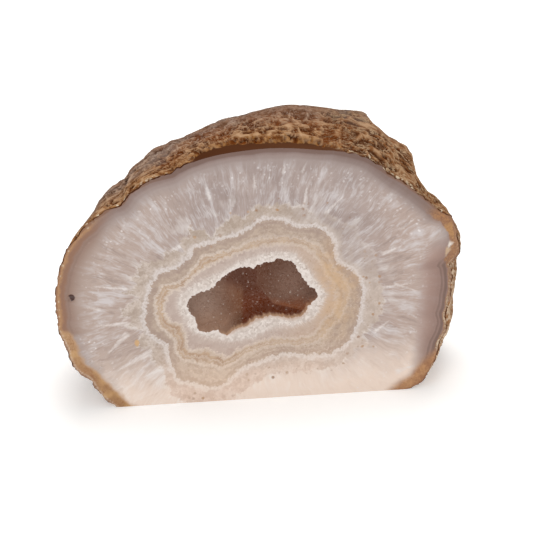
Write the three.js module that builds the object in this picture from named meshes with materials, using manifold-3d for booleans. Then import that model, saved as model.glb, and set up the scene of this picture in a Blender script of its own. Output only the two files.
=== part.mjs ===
// A cut-base agate: half a nodule that stands on a sawn base, with a polished front face,
// a rough pitted rind at the back, and a hollow lined with a crust of small quartz crystals.
// Millimetres. While it is shaped, the polished face is the plane y = 0 and the base is z = 0.

import * as THREE from "three";
import { mergeVertices } from "three/addons/utils/BufferGeometryUtils.js";
import Module from "manifold-3d";

const wasm = await Module();
wasm.setup();

// Driving dimensions
const STONE_DEPTH = 52; // from the polished face to the back of the stone
const BACK_FULLNESS = 0.62; // under 1, the back is fuller than an ellipsoid
const ROUND_SIZE = 41; // of the outline far back, where it has grown round
const HOLLOW_DEPTH = 21; // from the polished face to the deepest crystals
const CRUST_BACK_DEPTH = 24.5; // from the polished face to the back of the crust
const CRUST_GAP = 0.35; // between the crust and the stone round it
const CRYSTAL_HEIGHT = 1.1;
const PINHOLE = { x: -51.3, z: 34, radius: 0.9 }; // a small pit in the polished face

// Every outline is a distance from the heart line, a short level line through the hollow,
// given by the direction in which it is left.
const HEART = { x: -2.5, z: 30.5, half: 13 };

// The edge of the polished face, [x, z]. The stretch below the base is sawn off.
const FACE_EDGE = [
  [-41, 0.5], [-43.5, 3], [-47, 8.5], [-51, 12.5], [-52, 15], [-53, 19], [-55, 24.5], [-55, 28],
  [-54, 40.5], [-51.5, 47], [-40, 58], [-37, 59], [-34, 62.5], [-29, 65.5], [-23.5, 67],
  [-21.5, 68.5], [-12.5, 71.5], [-5.5, 72.5], [1.5, 73], [15.5, 72], [20.5, 71.5], [29, 69],
  [31, 67.5], [36, 63.5], [41, 60], [48, 54], [52.5, 51], [54.5, 45], [55, 42], [54, 39.5],
  [52.5, 37.5], [52, 23], [52.5, 20], [52, 17], [51, 14.5], [49, 7.5], [47.5, 4.5], [46, 2],
  [43.5, 0.5], [38, -1], [22, -5], [4, -8], [-14, -9.5], [-28, -8], [-36, -4],
];

// The mouth of the hollow in the polished face, [x, z]
const MOUTH = [
  [-20, 30.5], [-14.5, 34], [-11, 36.5], [-10, 37.5], [-4.5, 40], [-3, 40], [-2, 39.5], [-1, 40.5],
  [1.5, 41], [3, 41], [4.5, 42], [8, 41], [11, 37], [14, 33], [15.5, 29.5], [13.5, 27.5],
  [12.5, 25.5], [11, 24.5], [9.5, 24], [3, 25], [0.5, 24.5], [-1.5, 24], [-4, 22.5], [-6, 22],
  [-10, 20], [-12.5, 21.5], [-15, 21], [-16.5, 21.5], [-18, 25.5], [-19.5, 27.5],
];

// The outer edge of the crystal crust in the polished face, [x, z]
const CRUST_EDGE = [
  [-23, 30.5], [-11.5, 38.5], [-8, 40.5], [3.5, 44], [6.5, 44], [9.5, 43], [11.5, 40.5],
  [16.5, 33.5], [18, 29.5], [17, 27], [15, 24], [12.5, 22.5], [9.5, 21.5], [5, 21.5],
  [-5.5, 18], [-8.5, 18], [-15, 19.5], [-18, 21], [-22, 27],
];

// How far the back swells beyond the edge of the face, [degrees, millimetres]
const SWELL = [
  [0, 11.5], [10, 11.4], [18, 5], [27, 1.8], [35, 4.6], [42, 9.4], [48, 8.6], [56, 10.6], [65, 9.2],
  [75, 8.6], [90, 5.6], [105, 2.8], [115, 3], [130, 1.4], [140, -0.8], [150, -3.5], [165, -4.4],
  [178, -5.4], [190, 0.4], [215, 0.4], [235, 3], [270, 2], [320, 6], [340, 12.6],
];

// The smooth ledge above the face, where the rind has broken away, [degrees, depth]
const LEDGE = [
  [0, 0], [62, 0], [68, 2.5], [75, 4.5], [85, 5], [98, 6.5], [104, 4], [108, 0], [240, 0],
];

// Lumps on the rind: direction in degrees, depth behind the face, half width, height
const LUMPS = [
  [58, 28, 6, 2], [51, 27, 3.5, -2.2], [72, 27, 8, 1.2], [63, 34, 4, -1.6], [42, 20, 5, 1.6],
  [36, 19, 4, -1.2], [95, 40, 9, 1.6], [20, 36, 9, 2], [150, 36, 10, 1.8], [175, 22, 7, 1],
  [200, 34, 8, 1.5], [335, 28, 9, 1.5], [5, 14, 6, 0.6], [70, 44, 8, 1.4], [130, 45, 8, -1.5],
  [205, 12, 5, 1],
];

// Round lobes on the wall of the hollow: x, z, radius, depth of the centre
const LOBES = [
  [-12.5, 25, 10.5, 19.5], [9, 30.5, 9.5, 20.5], [-4.5, 34.5, 5.5, 15.5],
];

// Sampling
const COLUMNS = 108; // round the heart line; a multiple of three for the crystals
const RIND_DEPTHS = [1.4, 4, 6.4, 8, 10.6, 13.6, 16.8, 20, 23.4, 26.8, 30.2, 33.6, 37, 40.4, 43.6, 46.4];
const BACK_SHARES = [0.53, 0.45, 0.37, 0.29, 0.21, 0.14, 0.07, 0]; // of the face's size
const CRUST_BACK_ROWS = [0, 0.45, 0.78, 0.95, 1];
const HOLLOW_ROWS = [
  0, 0.13, 0.25, 0.37, 0.48, 0.59, 0.68, 0.77, 0.84, 0.895, 0.937, 0.965, 0.983, 0.995, 1,
];

const TURN = 2 * Math.PI;
const radians = (degrees) => (degrees * Math.PI) / 180;
const clamp = (v, low, high) => Math.min(Math.max(v, low), high);

function smoothstep(low, high, v) {
  const t = clamp((v - low) / (high - low), 0, 1);
  return t * t * (3 - 2 * t);
}

// A smooth closed curve through [angle, value] samples that doesn't overshoot them
function closedCurve(samples) {
  const sorted = [...samples].sort((a, b) => a[0] - b[0]);
  const n = sorted.length;
  const at = (i) => {
    const wrap = Math.floor(i / n);
    const [angle, value] = sorted[i - wrap * n];
    return [angle + wrap * TURN, value];
  };
  const slope = (i) => {
    const [[xa, ya], [xb, yb], [xc, yc]] = [at(i - 1), at(i), at(i + 1)];
    const [ha, hb] = [xb - xa, xc - xb];
    const [da, db] = [(yb - ya) / ha, (yc - yb) / hb];
    const [wa, wb] = [2 * hb + ha, hb + 2 * ha];
    return da * db > 0 ? (wa + wb) / (wa / da + wb / db) : 0;
  };
  return (angle) => {
    const q = ((angle % TURN) + TURN) % TURN;
    let i = -1;
    while (at(i + 1)[0] <= q) i += 1;
    const [[x0, y0], [x1, y1]] = [at(i), at(i + 1)];
    const h = x1 - x0;
    const t = (q - x0) / h;
    return (
      (1 + 2 * t) * (1 - t) ** 2 * y0 + t * (1 - t) ** 2 * h * slope(i) +
      t * t * (3 - 2 * t) * y1 + t * t * (t - 1) * h * slope(i + 1)
    );
  };
}

// The direction and distance from the heart line of a point in the plane of the face
function fromHeart([px, pz]) {
  const [x, z] = [px - HEART.x, pz - HEART.z];
  let [low, high] = [0, 300];
  for (let k = 0; k < 50; k += 1) {
    const r = (low + high) / 2;
    const outside = (x / (HEART.half + r)) ** 2 + (z / r) ** 2 > 1;
    [low, high] = outside ? [r, high] : [low, r];
  }
  const angle = Math.atan2(z / low, x / (HEART.half + low));
  return [(angle + TURN) % TURN, low];
}

const outline = (points) => closedCurve(points.map(fromHeart));
const table = (rows) => closedCurve(rows.map(([degrees, value]) => [radians(degrees), value]));

const faceEdge = outline(FACE_EDGE);
const mouth = outline(MOUTH);
const crustEdge = outline(CRUST_EDGE);
const swell = table(SWELL);
const ledge = table(LEDGE);

// The point at a direction and distance from the heart line, y behind the face
function fromHeartLine(angle, r, y, half = HEART.half) {
  const x = HEART.x + (half + r) * Math.cos(angle);
  const z = HEART.z + r * Math.sin(angle);
  return new THREE.Vector3(x, y, z);
}

// A repeatable number from 0 to 1 for each cell of a grid
function cellValue(x, y, z) {
  let h = Math.imul(x, 73856093) ^ Math.imul(y, 19349663) ^ Math.imul(z, 83492791);
  h = Math.imul(h ^ (h >>> 16), 0x45d9f3b);
  h = Math.imul(h ^ (h >>> 16), 0x45d9f3b);
  return ((h ^ (h >>> 16)) >>> 0) / 4294967296;
}

// Smooth noise from 0 to 1, with lumps about one unit across
function smoothNoise(p) {
  const [x, y, z] = p.toArray().map(Math.floor);
  const [u, v, w] = [p.x - x, p.y - y, p.z - z].map((t) => t * t * (3 - 2 * t));
  let sum = 0;
  for (const i of [0, 1])
    for (const j of [0, 1])
      for (const k of [0, 1]) {
        const weight = (i ? u : 1 - u) * (j ? v : 1 - v) * (k ? w : 1 - w);
        sum += weight * cellValue(x + i, y + j, z + k);
      }
  return sum;
}

// The distance to the nearest of points scattered one to a unit cell
function nearestSeed(p) {
  const [x, y, z] = p.toArray().map(Math.floor);
  let nearest = 9;
  for (let i = x - 1; i <= x + 1; i += 1)
    for (let j = y - 1; j <= y + 1; j += 1)
      for (let k = z - 1; k <= z + 1; k += 1) {
        const [a, b, c] = [cellValue(i, j, k), cellValue(i + 57, j, k), cellValue(i, j + 113, k)];
        nearest = Math.min(nearest, Math.hypot(p.x - i - a, p.y - j - b, p.z - k - c));
      }
  return nearest;
}

// How far the rind stands out of or sinks into the smooth back at a point: lumps and pits
const LUMP_SIZE = 13;
const LUMP_HEIGHT = 2.2;
const PIT_SPACING = 7.5;
const PIT_DEPTH = 1.4;
function rindRelief(p) {
  const lumps = LUMP_HEIGHT * (smoothNoise(p.clone().divideScalar(LUMP_SIZE)) - 0.5);
  const pits = PIT_DEPTH * smoothstep(0.62, 0.2, nearestSeed(p.clone().divideScalar(PIT_SPACING)));
  return lumps - pits;
}

// The back of the stone: theta is 0 at the face and a quarter turn at the back pole
const CORE = new THREE.Vector3(0, 20, 32);
function backPoint(angle, theta) {
  const y = STONE_DEPTH * Math.sin(theta);
  const cut = smoothstep(-0.6, 0.6, y - ledge(angle) - 0.6); // 0 on the ledge, 1 on the rind
  const grown = swell(angle) * Math.sin(2 * theta) * (ledge(angle) > 0.1 ? cut : 1);
  const rounding = smoothstep(0.72, 0.2, Math.cos(theta));
  const edge = THREE.MathUtils.lerp(faceEdge(angle), ROUND_SIZE, rounding);
  let r = edge * Math.cos(theta) ** BACK_FULLNESS + grown;
  for (const [degrees, depth, width, height] of LUMPS) {
    const across = (faceEdge(angle) + HEART.half / 2) * Math.sin((angle - radians(degrees)) / 2) * 2;
    const fade = smoothstep(0, 0.5, Math.cos(theta));
    r += fade * height * Math.exp(-((across / width) ** 2) - ((y - depth) / width) ** 2);
  }
  const half = HEART.half * smoothstep(0, 0.45, Math.cos(theta)); // the dome ends on one point
  const p = fromHeartLine(angle, theta < Math.PI / 2 ? r : 0, y, half);
  const rough = smoothstep(0, 3.5, y - ledge(angle));
  const out = p.clone().sub(CORE).normalize();
  return p.addScaledVector(out, rough * rindRelief(p));
}

// The depth of a bowl at a share of the way from the heart line to its edge
const bowl = (share) => Math.sqrt(Math.max(1 - share ** 4, 0));

// The wall of the hollow, before its crystals: a bowl with round lobes
function hollowPoint(angle, share) {
  const p = fromHeartLine(angle, mouth(angle) * share, HOLLOW_DEPTH * bowl(share));
  for (const [x, z, radius, depth] of LOBES) {
    const distance = Math.hypot(p.x - x, p.z - z);
    if (distance < radius) p.y = Math.min(p.y, depth - Math.sqrt(radius ** 2 - distance ** 2));
  }
  return p;
}

// The back of the crust, or with a gap the wall of the stone round it
function crustBackPoint(angle, share, gap) {
  const edge = crustEdge(angle) + gap;
  return fromHeartLine(angle, edge * share, (CRUST_BACK_DEPTH + gap) * bowl(share));
}

// A closed surface from rows of points; the first and last rows close on a line or a point
function closedSurface(rows) {
  const indices = [];
  for (let i = 0; i + 1 < rows.length; i += 1)
    for (let j = 0; j < COLUMNS; j += 1) {
      const next = (j + 1) % COLUMNS;
      const [a, b] = [i * COLUMNS + j, i * COLUMNS + next];
      const [c, d] = [a + COLUMNS, b + COLUMNS];
      indices.push(a, d, b, a, c, d);
    }
  const geometry = new THREE.BufferGeometry().setFromPoints(rows.flat());
  geometry.setIndex(indices);
  return mergeVertices(geometry, 1e-4);
}

const columnAngle = (j) => (TURN * j) / COLUMNS;
const rowOf = (pointAt) => Array.from({ length: COLUMNS }, (_, j) => pointAt(columnAngle(j), j));

// Six-sided crystal points: one lattice point in three is a tip, raised along the wall's normal
function crystalRow(row, share) {
  return rowOf((angle, j) => {
    const p = hollowPoint(angle, share);
    if (share === 0) return p;
    const tip = (row + j) % 3 === 0;
    if (share === 1) return fromHeartLine(angle, mouth(angle) - (tip ? CRYSTAL_HEIGHT / 2 : 0), 0);
    const along = hollowPoint(angle + 0.01, share).sub(p);
    const inward = hollowPoint(angle, share - 0.01).sub(p);
    const normal = inward.cross(along).normalize();
    if (normal.y > 0) normal.negate();
    const height = CRYSTAL_HEIGHT * (0.6 + 0.8 * cellValue(row, j, 7));
    return tip ? p.addScaledVector(normal, Math.min(height, p.y * 0.6)) : p;
  });
}

function stoneGeometry() {
  const thetas = [
    ...RIND_DEPTHS.map((depth) => Math.asin(depth / STONE_DEPTH)),
    ...BACK_SHARES.map((share) => Math.acos(share ** (1 / BACK_FULLNESS))),
  ];
  const rows = [
    ...CRUST_BACK_ROWS.map((share) => rowOf((angle) => crustBackPoint(angle, share, CRUST_GAP))),
    rowOf((angle) => fromHeartLine(angle, faceEdge(angle), 0)),
    ...thetas.map((theta) => rowOf((angle) => backPoint(angle, theta))),
  ];
  return closedSurface(rows);
}

function crustGeometry() {
  const rows = [
    ...HOLLOW_ROWS.map((share, row) => crystalRow(row, share)),
    ...CRUST_BACK_ROWS.toReversed().map((share) => rowOf((angle) => crustBackPoint(angle, share, 0))),
  ];
  return closedSurface(rows);
}

function solidOf(geometry) {
  const bare = new THREE.BufferGeometry();
  bare.setAttribute("position", geometry.getAttribute("position"));
  bare.setIndex(geometry.index);
  const merged = mergeVertices(bare, 1e-4);
  return new wasm.Manifold(
    new wasm.Mesh({
      numProp: 3,
      vertProperties: merged.attributes.position.array,
      triVerts: new Uint32Array(merged.index.array),
    }),
  );
}

function geometryOf(solid) {
  const mesh = solid.getMesh();
  const geometry = new THREE.BufferGeometry();
  geometry.setAttribute("position", new THREE.BufferAttribute(mesh.vertProperties, 3));
  geometry.setIndex(new THREE.BufferAttribute(mesh.triVerts, 1));
  geometry.computeVertexNormals();
  return geometry;
}

// The stone with its base sawn flat and the pinhole sunk in its face
function sawnStone() {
  const block = new THREE.BoxGeometry(200, 200, 60).translate(0, 20, -30);
  const pit = new THREE.IcosahedronGeometry(PINHOLE.radius, 1).scale(0.8, 1.3, 1.2);
  pit.translate(PINHOLE.x, 0, PINHOLE.z);
  return geometryOf(solidOf(stoneGeometry()).subtract(solidOf(block)).subtract(solidOf(pit)));
}

const stoneMaterial = new THREE.MeshStandardMaterial({ color: 0xb5a096, roughness: 0.35 });
const crystalMaterial = new THREE.MeshStandardMaterial({ color: 0x8a5a45, roughness: 0.3 });

const stone = new THREE.Mesh(sawnStone(), stoneMaterial);
stone.name = "agate_stone";
const crust = new THREE.Mesh(crustGeometry(), crystalMaterial);
crust.name = "crystal_crust";

// The part's origin is the middle of its base
const agate = new THREE.Group();
agate.add(stone, crust);
const bounds = new THREE.Box3().setFromObject(agate, true);
const middle = bounds.getCenter(new THREE.Vector3());
agate.position.set(-middle.x, -middle.y, 0);

export default agate;
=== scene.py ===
# A cut-base agate: half a nodule that stands on its sawn base, with a polished banded face in
# front, a rough pitted rind behind, and a hollow lined with small quartz crystals.
# Shapes are worked out in millimetres on the polished face's own axes: x along the face,
# y straight back from it and z up from the base. They are moved to the frame's place at the end.

import math
from types import SimpleNamespace

import bpy
import numpy as np
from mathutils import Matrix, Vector


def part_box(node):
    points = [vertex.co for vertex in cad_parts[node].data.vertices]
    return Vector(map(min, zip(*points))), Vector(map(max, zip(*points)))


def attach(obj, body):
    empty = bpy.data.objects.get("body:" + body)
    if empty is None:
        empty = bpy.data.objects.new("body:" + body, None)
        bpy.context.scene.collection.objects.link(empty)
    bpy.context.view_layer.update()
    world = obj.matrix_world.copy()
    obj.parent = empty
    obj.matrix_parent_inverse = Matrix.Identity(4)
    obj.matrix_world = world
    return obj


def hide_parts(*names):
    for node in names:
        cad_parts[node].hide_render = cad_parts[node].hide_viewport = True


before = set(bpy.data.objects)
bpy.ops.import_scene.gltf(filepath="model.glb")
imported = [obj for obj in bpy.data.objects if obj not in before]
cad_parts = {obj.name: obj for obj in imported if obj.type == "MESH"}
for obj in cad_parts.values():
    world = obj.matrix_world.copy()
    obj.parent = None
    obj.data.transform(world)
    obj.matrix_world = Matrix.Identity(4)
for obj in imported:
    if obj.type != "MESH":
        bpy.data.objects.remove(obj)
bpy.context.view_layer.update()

# The stone as a whole, in millimetres
STONE_DEPTH = 52.0
BACK_FULLNESS = 0.62
ROUND_SIZE = 41.0
HEART_X = -2.5
HEART_Z = 30.5
HEART_HALF = 13.0
FARTHEST = 300.0
HALVINGS = 50
CORE = np.array([0.0, 20.0, 32.0])

# Outlines in the plane of the polished face, each a list of (x, z)
FACE_EDGE = [
    (-41, 0.5), (-43.5, 3), (-47, 8.5), (-51, 12.5), (-52, 15), (-53, 19), (-55, 24.5),
    (-55, 28), (-54, 40.5), (-51.5, 47), (-40, 58), (-37, 59), (-34, 62.5), (-29, 65.5),
    (-23.5, 67), (-21.5, 68.5), (-12.5, 71.5), (-5.5, 72.5), (1.5, 73), (15.5, 72),
    (20.5, 71.5), (29, 69), (31, 67.5), (36, 63.5), (41, 60), (48, 54), (52.5, 51),
    (54.5, 45), (55, 42), (54, 39.5), (52.5, 37.5), (52, 23), (52.5, 20), (52, 17),
    (51, 14.5), (49, 7.5), (47.5, 4.5), (46, 2), (43.5, 0.5), (38, -1), (22, -5), (4, -8),
    (-14, -9.5), (-28, -8), (-36, -4),
]
MOUTH = [
    (-20, 30.5), (-14.5, 34), (-11, 36.5), (-10, 37.5), (-4.5, 40), (-3, 40), (-2, 39.5),
    (-1, 40.5), (1.5, 41), (3, 41), (4.5, 42), (8, 41), (11, 37), (14, 33), (15.5, 29.5),
    (13.5, 27.5), (12.5, 25.5), (11, 24.5), (9.5, 24), (3, 25), (0.5, 24.5), (-1.5, 24),
    (-4, 22.5), (-6, 22), (-10, 20), (-12.5, 21.5), (-15, 21), (-16.5, 21.5), (-18, 25.5),
    (-19.5, 27.5),
]
CRUST_EDGE = [
    (-23, 30.5), (-11.5, 38.5), (-8, 40.5), (3.5, 44), (6.5, 44), (9.5, 43), (11.5, 40.5),
    (16.5, 33.5), (18, 29.5), (17, 27), (15, 24), (12.5, 22.5), (9.5, 21.5), (5, 21.5),
    (-5.5, 18), (-8.5, 18), (-15, 19.5), (-18, 21), (-22, 27),
]
TAN_INNER = [
    (0, 45.5), (-11.5, 42), (-22, 34.5), (-24.5, 34), (-25, 33), (-25.5, 26), (-22.5, 24),
    (-21, 22), (-19.5, 16), (-14.5, 16), (-10, 13.5), (-5, 16), (4, 18.5), (11, 18), (15, 19),
    (16.5, 21), (17.5, 23), (20, 25), (21, 28), (20.5, 31.5), (18, 37), (15.5, 41.5),
    (11.5, 45), (6.5, 46), (3, 46),
]
TAN_OUTER = [
    (-28.5, 30.5), (-26.5, 35), (-21.5, 36.5), (-19, 38.5), (-14.5, 43.5), (-7, 45), (-3, 47),
    (4, 48), (9.5, 47.5), (14, 46), (18, 42), (21, 37), (24, 28.5), (23, 25.5), (19, 20),
    (17, 17.5), (13.5, 16), (5.5, 16.5), (1.5, 16), (-5, 13.5), (-11, 10.5), (-14.5, 11.5),
    (-21, 13.5), (-23.5, 17.5), (-23.5, 20), (-27, 23.5), (-28, 26),
]
LAVENDER = [
    (-31, 31.5), (-30, 35.5), (-28, 39), (-23.5, 40.5), (-20, 43.5), (-18, 46), (-6, 49.5),
    (-3, 51), (-0.5, 53), (4, 53.5), (10.5, 51), (16.5, 50), (18.5, 48.5), (21.5, 40),
    (25.5, 37), (28, 33), (28.5, 27.5), (25.5, 17), (24.5, 15.5), (20, 12.5), (16, 12),
    (5.5, 13), (-4.5, 9.5), (-13.5, 4), (-22.5, 7), (-25.5, 13), (-27, 19), (-30.5, 21.5),
    (-31.5, 28.5),
]
POINTS = [
    (-37.5, 27.5), (-36.5, 31), (-33.5, 32.5), (-36.5, 34.5), (-34, 36), (-35, 38),
    (-33.5, 39), (-33, 41.5), (-30, 43), (-26, 42.5), (-25.5, 45), (-21, 45), (-21, 48),
    (-19.5, 49.5), (-19, 51.5), (-12.5, 49.5), (-11.5, 52), (-9.5, 53), (-7.5, 54.5),
    (-4.5, 54), (-2.5, 56.5), (1.5, 57), (5, 57), (13.5, 55.5), (14.5, 54), (16.5, 55),
    (21, 52), (25, 50.5), (27, 46), (30.5, 43), (32, 37), (32, 33.5), (33.5, 31), (34, 27.5),
    (32.5, 21.5), (31, 21), (30, 18.5), (28.5, 17.5), (30, 15), (27, 14), (25.5, 11.5),
    (18, 8), (4, 8), (0.5, 6.5), (-10, -0.5), (-15.5, -1), (-21.5, 1), (-25.5, 4), (-27, 7.5),
    (-26.5, 10), (-30, 13.5), (-30, 17), (-33, 18), (-33, 23), (-36, 24), (-35, 27),
]

# How far the back swells beyond the edge of the face, (degrees, millimetres)
SWELL = [
    (0, 11), (10, 10.8), (18, 4.4), (27, 1.8), (35, 4.8), (42, 9.0), (48, 9.6), (54, 10.5),
    (60, 8.7), (66, 8.6), (75, 8.4), (90, 5.4), (105, 3.0), (115, 3.8), (123, 1.7), (130, 1.5),
    (140, -0.6), (150, -3.6), (165, -4.0), (178, -5.0), (190, 0.4), (215, 0.4), (235, 3), (270, 2),
    (320, 6), (340, 13),
]
# The smooth ledge above the face, where the rind has broken away, (degrees, depth)
LEDGE = [
    (0, 0), (62, 0), (68, 2.5), (75, 4.5), (85, 5), (98, 6.5), (104, 4), (108, 0), (240, 0),
]
# Lumps on the rind: (degrees, depth behind the face, half width, height)
LUMPS = [
    (58, 28, 6, 2), (51, 27, 3.5, -2.2), (72, 27, 8, 1.2), (63, 34, 4, -1.6), (42, 20, 5, 1.6),
    (36, 19, 4, -1.2), (95, 40, 9, 1.6), (20, 36, 9, 2), (150, 36, 10, 1.8), (175, 22, 7, 1),
    (200, 34, 8, 1.5), (335, 28, 9, 1.5), (5, 14, 6, 0.6), (70, 44, 8, 1.4),
    (130, 45, 8, -1.5), (205, 12, 5, 1),
]
# Relief of the rind: broad lumps, dents, grain, and a net of strands with openings between
# them, deep by the face and shallow at the back; depths behind the face where it fades
LUMP_SIZE = 13.0
LUMP_HEIGHT = 1.0
DENT_SPACING = 7.5
DENT_DEPTH = 0.4
DENT_EDGES = (0.62, 0.2)
NET_SIZE = 2.4
NET_DEPTH = 0.9
OPEN_SIZE = 5.0
THREAD_STRETCH = 1.2
STRAND_WIDTH = 0.035
NET_FADES = 20.0
NET_ENDS = 34.0
GRAIN_SIZE = 1.1
GRAIN_HEIGHT = 0.15
# Where the net is drawn out into threads: on the shoulders, by sideways place, height and depth
SHOULDER_SIDE = (18, 30)
SHOULDER_HEIGHT = (33, 44)
SHOULDER_DEPTH = (34, 22)
# The broken edge of the rind and the chips of the face's edge, (size, height) of their noise
LEDGE_TEETH = [(2.1, 1.5), (0.9, 1.0)]
EDGE_CHIPS = [(1.7, 0.7), (0.7, 0.4)]

# The hollow
HOLLOW_DEPTH = 21.0
CRUST_BACK_DEPTH = 24.5
LOBES = [(-18, 23.5, 14.5, 4.5), (13, 31.5, 13, 5.5), (-9.5, 37, 7, 9)]
LOBE_FALL = 12.0
LOBE_BLEND = 2.0
MOUTH_BUMP = 0.6
CRYSTAL_COUNT = 6000
CRYSTAL_WIDTH = (0.3, 0.75)
CRYSTAL_LEAN = 0.28
CRYSTAL_SEED = 11
CRYSTAL_CORNERS = 13
PLACES_AROUND = 360
PLACES_INWARD = 140
BED_HEIGHT = 0.2
RIM_PROUD = 0.02
# A crystal's parts as shares of its width: how deep its root is sunk, how far its shoulder stands
# out, how long its point is, and how it is flattened and drawn in at the shoulder
CRYSTAL_ROOT = 0.5
CRYSTAL_SHOULDER = (-0.1, 0.1)
CRYSTAL_POINT = (0.2, 0.4)
CRYSTAL_SQUASH = (0.8, 1.2)
CRYSTAL_TAPER = 0.96
# Pale crystal blades that stand out in the face: (x, z of the root, x, z of the tip, width)
BLADES = [
    (12.0, 56.0, 12.4, 62.6, 1.5), (17.4, 54.0, 22.5, 59.0, 1.1), (-24.0, 45.2, -15.4, 51.4, 1.5),
    (-36.2, 25.0, -45.0, 24.9, 1.5), (-35.9, 35.2, -45.4, 36.5, 0.8), (-43.5, 29.8, -48.0, 30.5, 1.1),
    (-34.6, 28.2, -38.5, 25.4, 1.8), (-36.3, 22.3, -42.3, 16.2, 1.8), (-29.2, 16.8, -39.9, 11.0, 2.2),
    (-26.5, 11.5, -33.0, 8.5, 1.6), (37.0, 32.6, 44.0, 30.0, 0.9), (32.5, 31.6, 42.6, 32.6, 0.8),
    (31.8, 18.4, 36.4, 22.0, 1.1), (38.3, 5.6, 44.9, 7.8, 1.6), (35.0, 58.8, 37.4, 58.2, 0.9),
    (38.1, 48.4, 42.5, 51.7, 0.9), (33.4, 41.6, 39.0, 43.8, 1.3), (6.0, 65.8, 6.6, 69.2, 0.9),
    (11.0, 66.0, 12.6, 69.3, 0.9), (-13.5, 59.5, -14.6, 64.0, 1.0), (-1.5, 62.0, -1.8, 66.5, 0.9),
]
# Flakes of other colours at the right end of the face, in the blades' terms
TAN_FLAKE = (51.3, 49.6, 53.3, 44.8, 2.6)
WHITE_FLAKE = (52.6, 44.2, 51.7, 42.2, 1.5)
CREAM_FLAKE = (52.0, 42.6, 51.0, 39.8, 1.7)
PINHOLE_X = -51.1
PINHOLE_Z = 33.5
PINHOLE_SIZE = 0.95
PINHOLE_DEPTH = 0.5

# Sampling of the surfaces. Lengths along the sawn base count by BASE_SHARE, so that it gets
# fewer columns
STONE_COLUMNS = 640
BASE_SHARE = 0.35
RIND_ROWS = 122
FACE_INNER_ROWS = 12
FACE_EDGE_ROWS = 12
FACE_EDGE_WIDTH = 6.0
HOLLOW_SHARES = np.array([0, 0.45, 0.78, 0.95, 1])[:, None]
CRUST_COLUMNS = 420
CRUST_WALL_ROWS = 60
CRUST_RIM_ROWS = 8
OVERLAP = 0.15

TURN = 2 * math.pi
MM = 0.001


def smoothstep(low, high, value):
    """0 below low, 1 above high, and 3t^2 - 2t^3 of the share t between them."""
    t = np.clip((value - low) / (high - low), 0, 1)
    return t * t * (3 - 2 * t)


def lerp(a, b, share):
    """a at share 0, b at share 1."""
    return a + (b - a) * share


def unit(vectors):
    """Vectors of the same directions with length 1."""
    return vectors / np.linalg.norm(vectors, axis=-1, keepdims=True)


def closed_curve(angles, values):
    """A smooth closed curve of value against angle, through every sample.

    Between two samples it is a cubic. Its slope at a sample is the weighted harmonic mean of
    the two chords there, or 0 at a peak, so the curve never overshoots its samples.
    """
    order = np.argsort(angles)
    x = np.concatenate([angles[order] + lap * TURN for lap in (-1, 0, 1)])
    y = np.tile(values[order], 3)
    step = np.diff(x)
    chord = np.diff(y) / step
    before, after = chord[:-1], chord[1:]
    weight_before = 2 * step[1:] + step[:-1]
    weight_after = step[1:] + 2 * step[:-1]
    rising = before * after > 0
    slope = np.zeros_like(y)
    slope[1:-1][rising] = (weight_before + weight_after)[rising] / (
        weight_before[rising] / before[rising] + weight_after[rising] / after[rising]
    )

    def curve(angle):
        q = np.asarray(angle) % TURN
        i = np.searchsorted(x, q, side="right") - 1
        h = step[i]
        t = (q - x[i]) / h
        return (
            (1 + 2 * t) * (1 - t) ** 2 * y[i]
            + t * (1 - t) ** 2 * h * slope[i]
            + t * t * (3 - 2 * t) * y[i + 1]
            + t * t * (t - 1) * h * slope[i + 1]
        )

    return curve


def heart_coordinates(x, z):
    """The direction and distance from the heart line of a point in the face's plane.

    The heart line is a level line 2 HEART_HALF long. Points at distance r from it lie on the
    ellipse with half axes HEART_HALF + r and r, and r is found by halving its range.
    """
    x = x - HEART_X
    z = z - HEART_Z
    low = np.zeros_like(x)
    high = np.full_like(x, FARTHEST)
    for _ in range(HALVINGS):
        middle = (low + high) / 2
        outside = (x / (HEART_HALF + middle)) ** 2 + (z / middle) ** 2 > 1
        low = np.where(outside, middle, low)
        high = np.where(outside, high, middle)
    return np.arctan2(z / low, x / (HEART_HALF + low)) % TURN, low


def off_heart_line(angle, distance, depth, half=HEART_HALF):
    """The point at a direction and distance from the heart line, depth behind the face. A
    shorter half length draws the line in to its middle, to close a surface on one point."""
    x = HEART_X + (half + distance) * np.cos(angle)
    z = HEART_Z + distance * np.sin(angle)
    return np.stack(np.broadcast_arrays(x, depth, z), -1)


def outline(points):
    """The closed curve of distance against direction through points of the face."""
    x, z = np.array(points, float).T
    return closed_curve(*heart_coordinates(x, z))


def table(rows):
    """The closed curve through (degrees, value) rows."""
    degrees, values = np.array(rows, float).T
    return closed_curve(np.radians(degrees), values)


face_edge = outline(FACE_EDGE)
mouth = outline(MOUTH)
crust_edge = outline(CRUST_EDGE)
swell = table(SWELL)
ledge = table(LEDGE)


def cell_value(x, y, z):
    """A repeatable number from 0 to 1 for each cell of a grid, by mixing its indices' bits."""
    x, y, z = (np.asarray(v).astype(np.int64).astype(np.uint32) for v in (x, y, z))
    h = (x * np.uint32(73856093)) ^ (y * np.uint32(19349663)) ^ (z * np.uint32(83492791))
    for _ in range(2):
        h = (h ^ (h >> np.uint32(16))) * np.uint32(0x45D9F3B)
    return (h ^ (h >> np.uint32(16))) / 2.0**32


def smooth_noise(p):
    """Values of the cell corners blended across each unit cell, from 0 to 1."""
    cell = np.floor(p)
    t = p - cell
    t = t * t * (3 - 2 * t)
    total = 0
    for corner in np.ndindex(2, 2, 2):
        weight = np.prod(np.where(corner, t, 1 - t), axis=-1)
        total = total + weight * cell_value(*np.moveaxis(cell + corner, -1, 0))
    return total


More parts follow.
